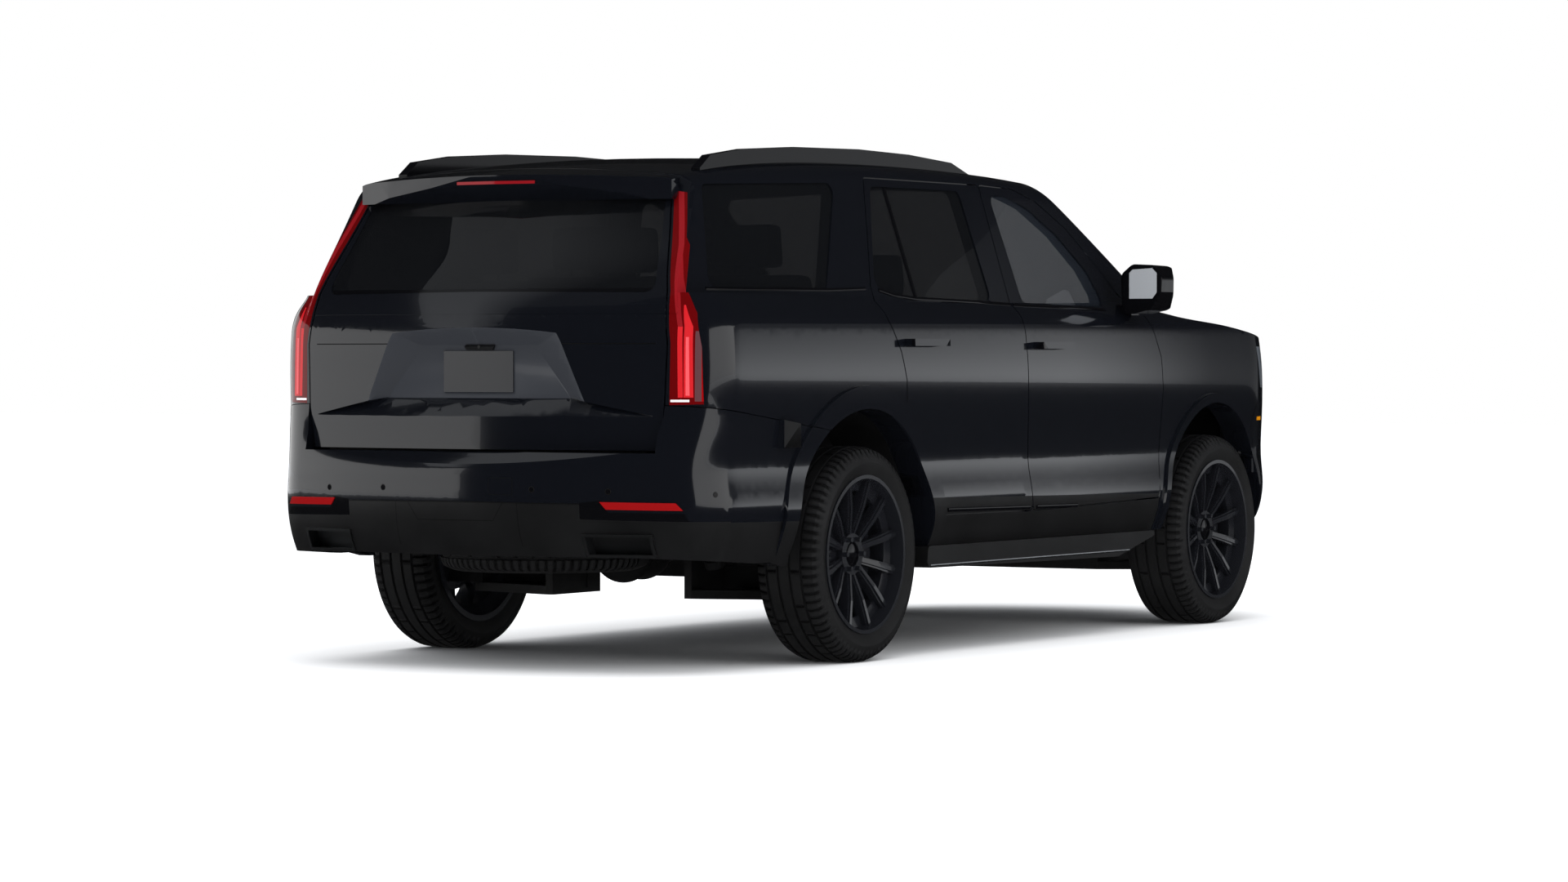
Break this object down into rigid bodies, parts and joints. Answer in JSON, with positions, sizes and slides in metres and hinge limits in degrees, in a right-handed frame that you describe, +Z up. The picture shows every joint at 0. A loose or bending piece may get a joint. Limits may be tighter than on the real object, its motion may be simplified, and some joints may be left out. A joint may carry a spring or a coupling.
{
  "type": "full-size off-road estate car",
  "caption": "Full-size off-road estate car with a boxy cabin, opening doors, tailgate and bonnet, steered front wheels and roof rails.",
  "frame": {"origin": "on the ground under the middle of the bounding box", "axes": "+X to the car's left, front towards -Y, +Z up"},
  "size_m": [2.3786, 5.3838, 1.9479],
  "materials": {
    "paint": "gloss",
    "paint_dark": "satin",
    "chassis_steel": "satin",
    "glass_clear": "gloss",
    "glass_privacy": "gloss",
    "black_plastic": "matte",
    "gloss_black": "gloss",
    "red_lens": "gloss",
    "clear_lens": "gloss",
    "tyre_rubber": "matte",
    "alloy_black": "gloss",
    "cast": "matte",
    "steel": "satin",
    "leather": "satin",
    "trim": "matte"
  },
  "bodies": {
    "body": {"body_sides": "paint", "chassis_frame": "chassis_steel", "cowl_panel": "black_plastic", "dashboard": "trim", "engine_block": "cast", "exhaust_system": "steel", "floor_pan": "paint_dark", "front_bumper": "paint", "front_fenders": "paint", "front_seat_backs": "leather", "front_seat_cushions": "leather", "front_suspension": "chassis_steel", "fuel_tank": "black_plastic", "grille": "gloss_black", "headlamps": "clear_lens", "headrests": "leather", "quarter_windows": "glass_privacy", "rear_bumper": "paint", "rear_seat_backs": "leather", "rear_seat_cushions": "leather", "rear_suspension": "chassis_steel", "roof_panel": "paint", "roof_rails": "gloss_black", "running_boards": "black_plastic", "seat_frames": "trim", "spare_wheel": "tyre_rubber", "steering_wheel": "trim", "tail_lamps": "red_lens", "windshield": "glass_clear"},
    "door_front_left": {"door_front_left": "paint", "glass_front_left": "glass_clear", "mirror_left": "gloss_black"},
    "door_front_right": {"door_front_right": "paint", "glass_front_right": "glass_clear", "mirror_right": "gloss_black"},
    "door_rear_left": {"door_rear_left": "paint", "glass_rear_left": "glass_privacy"},
    "door_rear_right": {"door_rear_right": "paint", "glass_rear_right": "glass_privacy"},
    "tailgate": {"tailgate": "paint", "rear_window": "glass_privacy"},
    "hood": {"hood": "paint"},
    "knuckle_left": {"knuckle_left": "cast"},
    "knuckle_right": {"knuckle_right": "cast"},
    "wheel_front_left": {"tyre_front_left": "tyre_rubber", "wheel_front_left": "alloy_black"},
    "wheel_front_right": {"tyre_front_right": "tyre_rubber", "wheel_front_right": "alloy_black"},
    "wheel_rear_left": {"tyre_rear_left": "tyre_rubber", "wheel_rear_left": "alloy_black"},
    "wheel_rear_right": {"tyre_rear_right": "tyre_rubber", "wheel_rear_right": "alloy_black"}
  },
  "joints": [
    {"name": "door_front_left_hinge", "type": "hinge", "parent": "body", "child": "door_front_left", "pos_m": [1.019, -1.1085, 0.9], "axis": [0, 0, -1], "range_deg": [0, 65]},
    {"name": "door_rear_left_hinge", "type": "hinge", "parent": "body", "child": "door_rear_left", "pos_m": [1.021, 0.0965, 0.9], "axis": [0, 0, -1], "range_deg": [0, 65]},
    {"name": "door_front_right_hinge", "type": "hinge", "parent": "body", "child": "door_front_right", "pos_m": [-1.019, -1.1085, 0.9], "axis": [0, 0, 1], "range_deg": [0, 65]},
    {"name": "door_rear_right_hinge", "type": "hinge", "parent": "body", "child": "door_rear_right", "pos_m": [-1.021, 0.0965, 0.9], "axis": [0, 0, 1], "range_deg": [0, 65]},
    {"name": "tailgate_hinge", "type": "hinge", "parent": "body", "child": "tailgate", "pos_m": [0, 2.236, 1.842], "axis": [1, 0, 0], "range_deg": [0, 80]},
    {"name": "hood_hinge", "type": "hinge", "parent": "body", "child": "hood", "pos_m": [0, -1.2, 1.386], "axis": [-1, 0, 0], "range_deg": [0, 45]},
    {"name": "steer_left", "type": "hinge", "parent": "body", "child": "knuckle_left", "pos_m": [0.75, -1.66, 0.405], "axis": [0, 0, 1], "range_deg": [-31, 31]},
    {"name": "steer_right", "type": "hinge", "parent": "body", "child": "knuckle_right", "pos_m": [-0.75, -1.66, 0.405], "axis": [0, 0, 1], "range_deg": [-31, 31]},
    {"name": "spin_front_left", "type": "hinge", "parent": "knuckle_left", "child": "wheel_front_left", "pos_m": [0.87, -1.66, 0.405], "axis": [1, 0, 0], "continuous": true},
    {"name": "spin_front_right", "type": "hinge", "parent": "knuckle_right", "child": "wheel_front_right", "pos_m": [-0.87, -1.66, 0.405], "axis": [1, 0, 0], "continuous": true},
    {"name": "spin_rear_left", "type": "hinge", "parent": "body", "child": "wheel_rear_left", "pos_m": [0.87, 1.411, 0.405], "axis": [1, 0, 0], "continuous": true},
    {"name": "spin_rear_right", "type": "hinge", "parent": "body", "child": "wheel_rear_right", "pos_m": [-0.87, 1.411, 0.405], "axis": [1, 0, 0], "continuous": true}
  ],
  "couplings": [
    {"joint": "steer_right", "follows": "steer_left", "ratio": 1}
  ]
}
